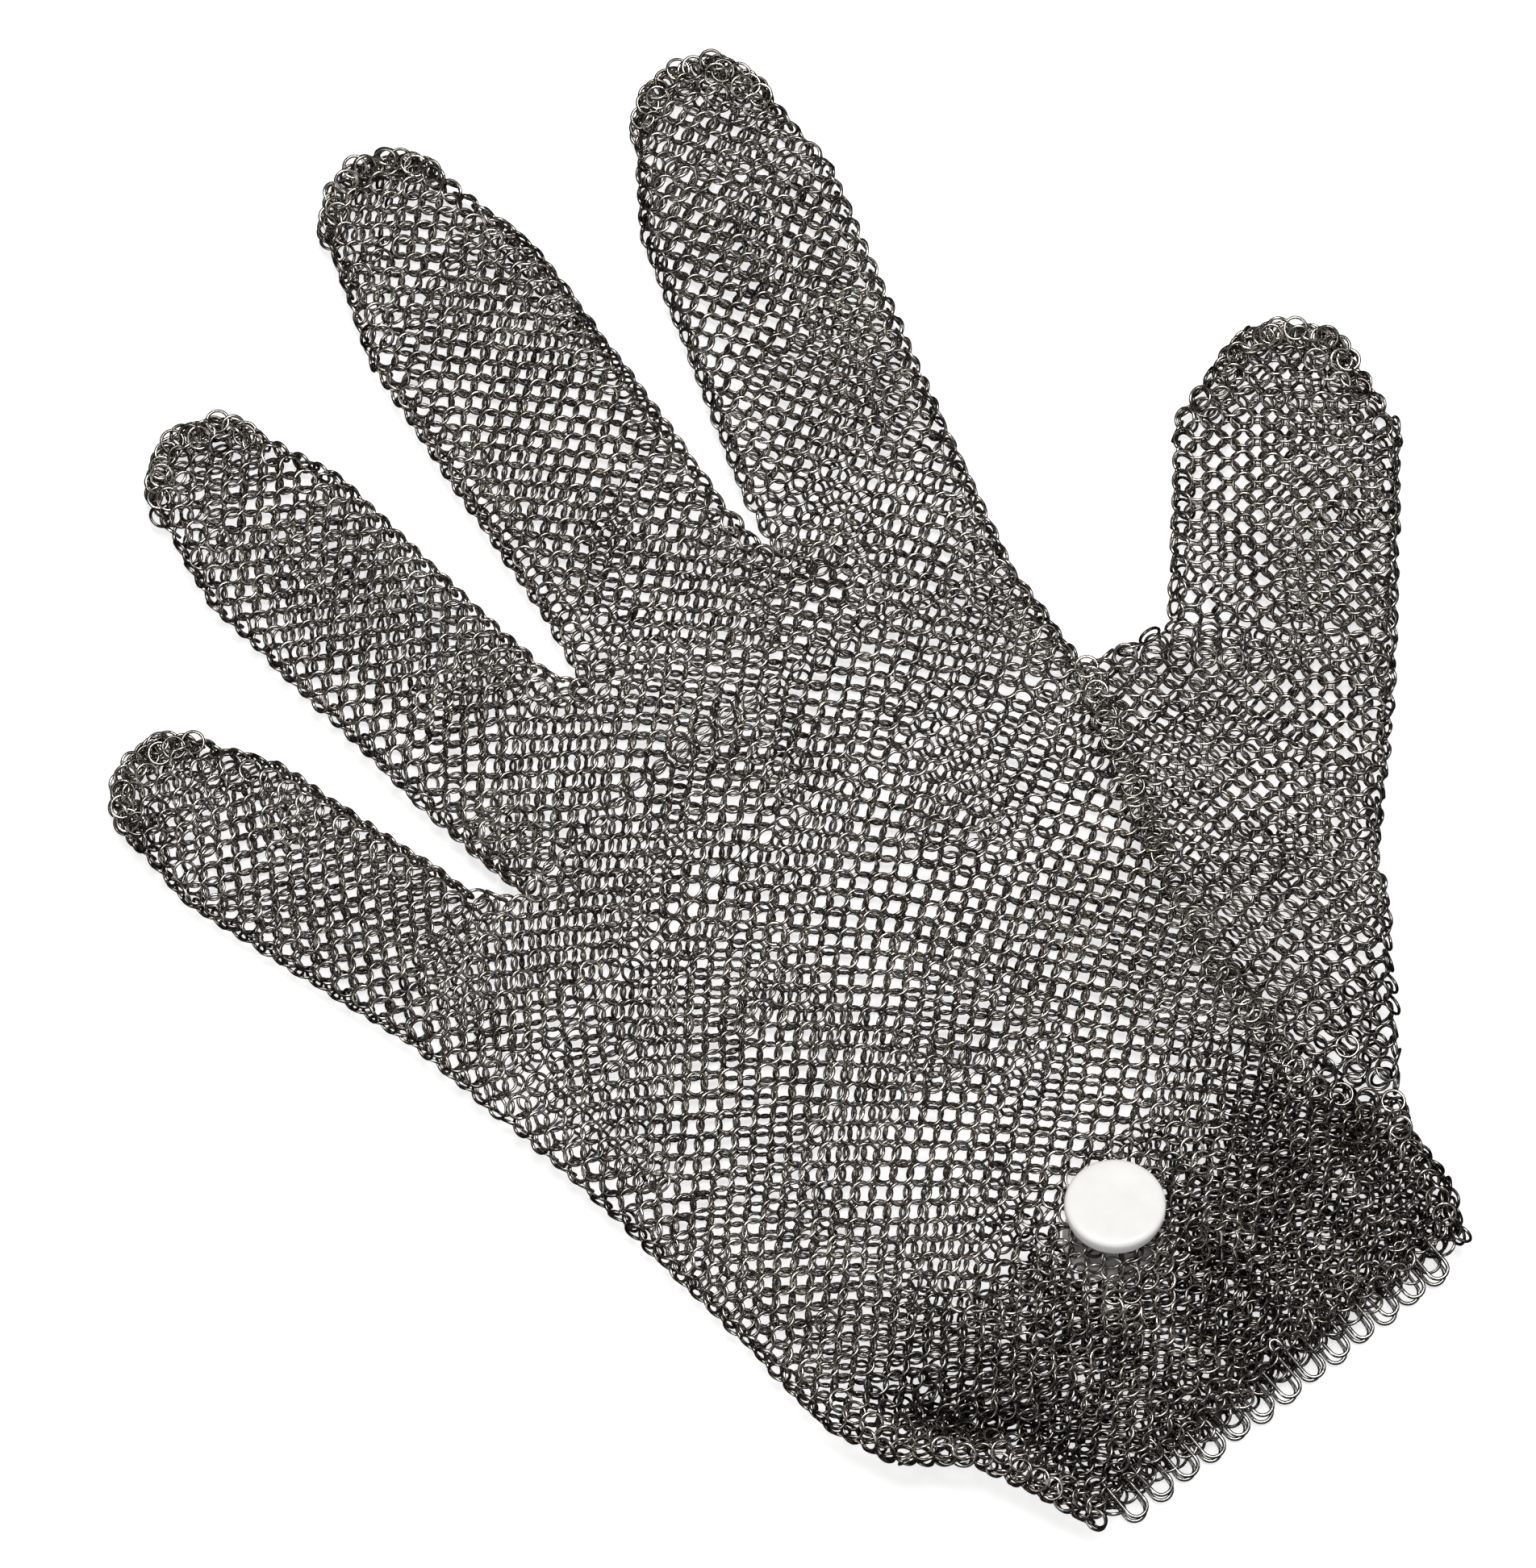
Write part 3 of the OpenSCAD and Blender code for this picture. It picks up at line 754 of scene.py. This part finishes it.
owners = np.array([piece_of(p) for p in centres])
for name in sorted(set(owners)):
    chosen = np.flatnonzero(owners == name)
    chosen = chosen[np.argsort(centres[chosen, 0], kind="stable")]
    parts = np.array_split(chosen, math.ceil(len(chosen) / MOST_RINGS))
    for k, part in enumerate(parts):
        obj = ring_piece(f"{name}_{k + 1}" if len(parts) > 1 else name, part)
        if name in BENDING:
            joint_name, reach, nodes_for = BENDING[name]
            blend_over(obj, joint_name, reach)
        else:
            body, node = RIDING[name]
            nodes_for = [node]
            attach(obj, body)
        if k == 0 and nodes_for:
            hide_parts(*nodes_for)

# ---------------------------------------------------------------- closing springs
SPRING_LOOPS, SPRING_PITCH, LOOP_W, LEG_L, LOOP_Y = 13, 5.3, 3.5, 7.0, -0.6
SPRING_WIRE, ARC_STEPS, SPRING_SIDES = 0.66, 14, 12
MOUTH_X = -1.0


def spring_line(level, dip):
    """Middle line of a spring, with small differences from loop to loop."""
    points = []
    inner_r = (SPRING_PITCH - LOOP_W) / 2
    for k in range(SPRING_LOOPS):
        x = MOUTH_X + (k - (SPRING_LOOPS - 1) / 2) * SPRING_PITCH + rng.normal(0, 0.12)
        y = LOOP_Y + abs(rng.normal(0, 0.35))
        z = level + rng.normal(0, 0.12)
        width = LOOP_W / 2 + rng.normal(0, 0.08)
        if k == 0:
            points.append((x - width, LOOP_Y + LEG_L, level + dip))
        for a in np.linspace(math.pi, 2 * math.pi, ARC_STEPS):
            points.append((x + width * math.cos(a), y + width * math.sin(a), z))
        if k < SPRING_LOOPS - 1:
            for a in np.linspace(math.pi, 0, ARC_STEPS):
                points.append((x + SPRING_PITCH / 2 + inner_r * math.cos(a),
                               LOOP_Y + LEG_L + inner_r * math.sin(a), level + dip))
        else:
            points.append((x + width, LOOP_Y + LEG_L, level + dip))
    return np.array(points)


def smooth_line(points, spacing):
    steps = np.linalg.norm(np.diff(points, axis=0), axis=1)
    keep = np.concatenate([[True], steps > 1e-3])
    points = points[keep]
    s = np.concatenate([[0], np.cumsum(np.linalg.norm(np.diff(points, axis=0), axis=1))])
    even = np.linspace(0, s[-1], round(s[-1] / spacing))
    line = np.column_stack([np.interp(even, s, points[:, k]) for k in range(3)])
    for _ in range(2):
        line[1:-1] = (line[:-2] + 2 * line[1:-1] + line[2:]) / 4
    return line


def tube(name, line, radius, sides, material):
    tangent = unit(np.gradient(line, axis=0))
    across = unit(np.cross(tangent, np.array([0, 0, 1.0])))
    upward = np.cross(across, tangent)
    turn = np.arange(sides) * 2 * math.pi / sides
    ring = np.cos(turn)[None, :, None] * across[:, None] + np.sin(turn)[None, :, None] * upward[:, None]
    size = np.full(len(line), radius)
    size[[0, -1]] = 0.02 * radius
    size[[1, -2]] = 0.8 * radius
    points = (line[:, None] + size[:, None, None] * ring).reshape(-1, 3)
    rows, cols = np.meshgrid(np.arange(len(line) - 1), np.arange(sides), indexing="ij")
    rows, cols = rows.ravel(), cols.ravel()
    beside = (cols + 1) % sides
    quads = np.column_stack([rows * sides + cols, rows * sides + beside, (rows + 1) * sides + beside,
                             (rows + 1) * sides + cols])
    return mesh_object(name, to_frame(points), quads, material)


for name, level, dip in (("front", 8.2, -1.9), ("back", 0.8, 1.2)):
    line = smooth_line(spring_line(level, dip), 0.3)
    spring = tube(f"closing_spring_{name}", line, SPRING_WIRE / 2, SPRING_SIDES, SPRING_STEEL)
    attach(spring, "cuff")
    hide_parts(f"cuff_spring_{name}")

# ---------------------------------------------------------------- button
CAP_R, CAP_H, BASE_R, BASE_H, NECK_H = 8.4, 2.1, 8.0, 1.1, 0.3
STEM_R, MOUND_H, BUTTON_PLAY, BACK_H = 2.2, 7.1, 0.3, 1.2
LATHE_STEPS = 96


def rounded(corners, steps=6):
    """Profile of (radius, height) points, each corner (r, h, round) eased by a curve."""
    points = []
    for k, (r, h, ease) in enumerate(corners):
        p = np.array([r, h])
        if ease == 0 or k in (0, len(corners) - 1):
            points.append(p)
            continue
        before = np.array(corners[k - 1][:2]) - p
        after = np.array(corners[k + 1][:2]) - p
        p0 = p + before / np.linalg.norm(before) * ease
        p1 = p + after / np.linalg.norm(after) * ease
        for t in np.linspace(0, 1, steps):
            points.append((1 - t) ** 2 * p0 + 2 * t * (1 - t) * p + t * t * p1)
    return np.array(points)


def lathe(name, corners):
    profile = rounded(corners)
    turn = np.arange(LATHE_STEPS) * 2 * math.pi / LATHE_STEPS
    points = np.stack([
        profile[:, None, 0] * np.cos(turn), profile[:, None, 0] * np.sin(turn),
        profile[:, None, 1] * np.ones(LATHE_STEPS),
    ], axis=-1).reshape(-1, 3)
    rows, cols = np.meshgrid(np.arange(len(profile) - 1), np.arange(LATHE_STEPS), indexing="ij")
    rows, cols = rows.ravel(), cols.ravel()
    beside = (cols + 1) % LATHE_STEPS
    quads = np.column_stack([rows * LATHE_STEPS + cols, rows * LATHE_STEPS + beside,
                             (rows + 1) * LATHE_STEPS + beside, (rows + 1) * LATHE_STEPS + cols])
    turned = Vector((0, 0, 1)).rotation_difference(Vector(BUTTON_AXIS)).to_matrix()
    points = points @ np.array(turned).T + BUTTON_AT
    obj = mesh_object(name, to_frame(points), quads, PLASTIC)
    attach(obj, "button")
    return obj


TINY = 0.02
cap_low = BASE_H + NECK_H
cap = lathe("button_cap_round", [
    (TINY, cap_low, 0), (CAP_R, cap_low, 0.35), (CAP_R, cap_low + CAP_H - 0.1, 0.95),
    (CAP_R - 1.6, cap_low + CAP_H, 0.5), (4.0, cap_low + CAP_H - 0.12, 1.0),
    (TINY, cap_low + CAP_H - 0.14, 0),
])
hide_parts("button_cap")
stem_low = -MOUND_H - 2 * BUTTON_PLAY
base = lathe("button_base_round", [
    (TINY, stem_low, 0), (STEM_R, stem_low, 0), (STEM_R, 0, 0.2), (BASE_R, 0, 0.35),
    (BASE_R, BASE_H, 0.3),
    (BASE_R - 0.4, BASE_H, 0), (BASE_R - 0.4, cap_low, 0), (TINY, cap_low, 0),
])
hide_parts("button_base")
back = lathe("button_back_round", [
    (TINY, stem_low - BACK_H, 0), (CAP_R, stem_low - BACK_H, 0.4), (CAP_R, stem_low, 0.4),
    (TINY, stem_low, 0),
])
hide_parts("button_back_disc")

# ---------------------------------------------------------------- floor, light and camera
FLOOR_HALF = 3.0
floor_mesh = bpy.data.meshes.new("floor")
floor_mesh.from_pydata(
    [(-FLOOR_HALF, -FLOOR_HALF, 0), (FLOOR_HALF, -FLOOR_HALF, 0), (FLOOR_HALF, FLOOR_HALF, 0),
     (-FLOOR_HALF, FLOOR_HALF, 0)], [], [(0, 1, 2, 3)])
floor = bpy.data.objects.new("floor", floor_mesh)
bpy.context.scene.collection.objects.link(floor)
floor_material, _, _, floor_shader = new_material("plain_floor")
floor_shader.inputs["Base Color"].default_value = (0.5, 0.5, 0.5, 1)
floor_shader.inputs["Emission Color"].default_value = (1, 1, 1, 1)
floor_shader.inputs["Emission Strength"].default_value = 0.72
floor_shader.inputs["Roughness"].default_value = 0.9
floor_shader.inputs["Specular IOR Level"].default_value = 0.1
floor_mesh.materials.append(floor_material)
floor.visible_glossy = False

IMAGE_UP = np.array([0.616, 0.788, 0.0])
IMAGE_RIGHT = np.array([0.788, -0.616, 0.0])
ELEVATION, DISTANCE, FIELD_H = 79.0, 1.4, 0.2632
TARGET = to_frame((-5.7, 132.8, 4.0))
low = math.radians(ELEVATION)
camera_at = TARGET + DISTANCE * (np.array([0, 0, math.sin(low)]) - IMAGE_UP * math.cos(low))
camera_data = bpy.data.cameras.new("camera")
camera_data.lens = camera_data.sensor_width * DISTANCE / FIELD_H
camera_data.clip_end = 20
camera = bpy.data.objects.new("camera", camera_data)
bpy.context.scene.collection.objects.link(camera)
back_way = Vector(camera_at - TARGET).normalized()
right_way = Vector(IMAGE_RIGHT)
up_way = back_way.cross(right_way)
turned = Matrix((right_way, up_way, back_way)).transposed()
camera.matrix_world = Matrix.Translation(Vector(camera_at)) @ turned.to_4x4()
bpy.context.scene.camera = camera


def area_light(name, place, aim, size, power, colour=(1, 1, 1)):
    data = bpy.data.lights.new(name, "AREA")
    data.shape = "RECTANGLE"
    data.size, data.size_y = size
    data.energy = power
    data.color = colour
    light = bpy.data.objects.new(name, data)
    light.location = place
    way = Vector(aim) - Vector(place)
    light.rotation_euler = way.to_track_quat("-Z", "Y").to_euler()
    bpy.context.scene.collection.objects.link(light)


area_light("key_softbox", (0.33, 0.3, 1.4), (0, 0, 0), (0.75, 0.6), 20.0, (1.0, 0.98, 0.95))
area_light("fill_softbox", (-1.1, -0.1, 0.75), (0, 0, 0), (0.5, 0.5), 3.6)
area_light("right_softbox", (0.9, -0.6, 0.8), (0, 0, 0), (0.35, 0.5), 1.6)

world = bpy.data.worlds.new("studio")
bpy.context.scene.world = world
world.use_nodes = True
background = world.node_tree.nodes["Background"]
place = world.node_tree.nodes.new("ShaderNodeTexCoord")
split_z = world.node_tree.nodes.new("ShaderNodeSeparateXYZ")
SKY = [(0.0, (0.02, 0.018, 0.016)), (0.4, (0.05, 0.047, 0.043)), (0.95, (0.30, 0.295, 0.29))]
sky = ramp(world.node_tree.nodes, SKY)
world.node_tree.links.new(place.outputs["Generated"], split_z.inputs[0])
world.node_tree.links.new(split_z.outputs["Z"], sky.inputs["Fac"])
world.node_tree.links.new(sky.outputs["Color"], background.inputs["Color"])
background.inputs["Strength"].default_value = 1.0
bpy.context.scene.view_settings.view_transform = "Standard"
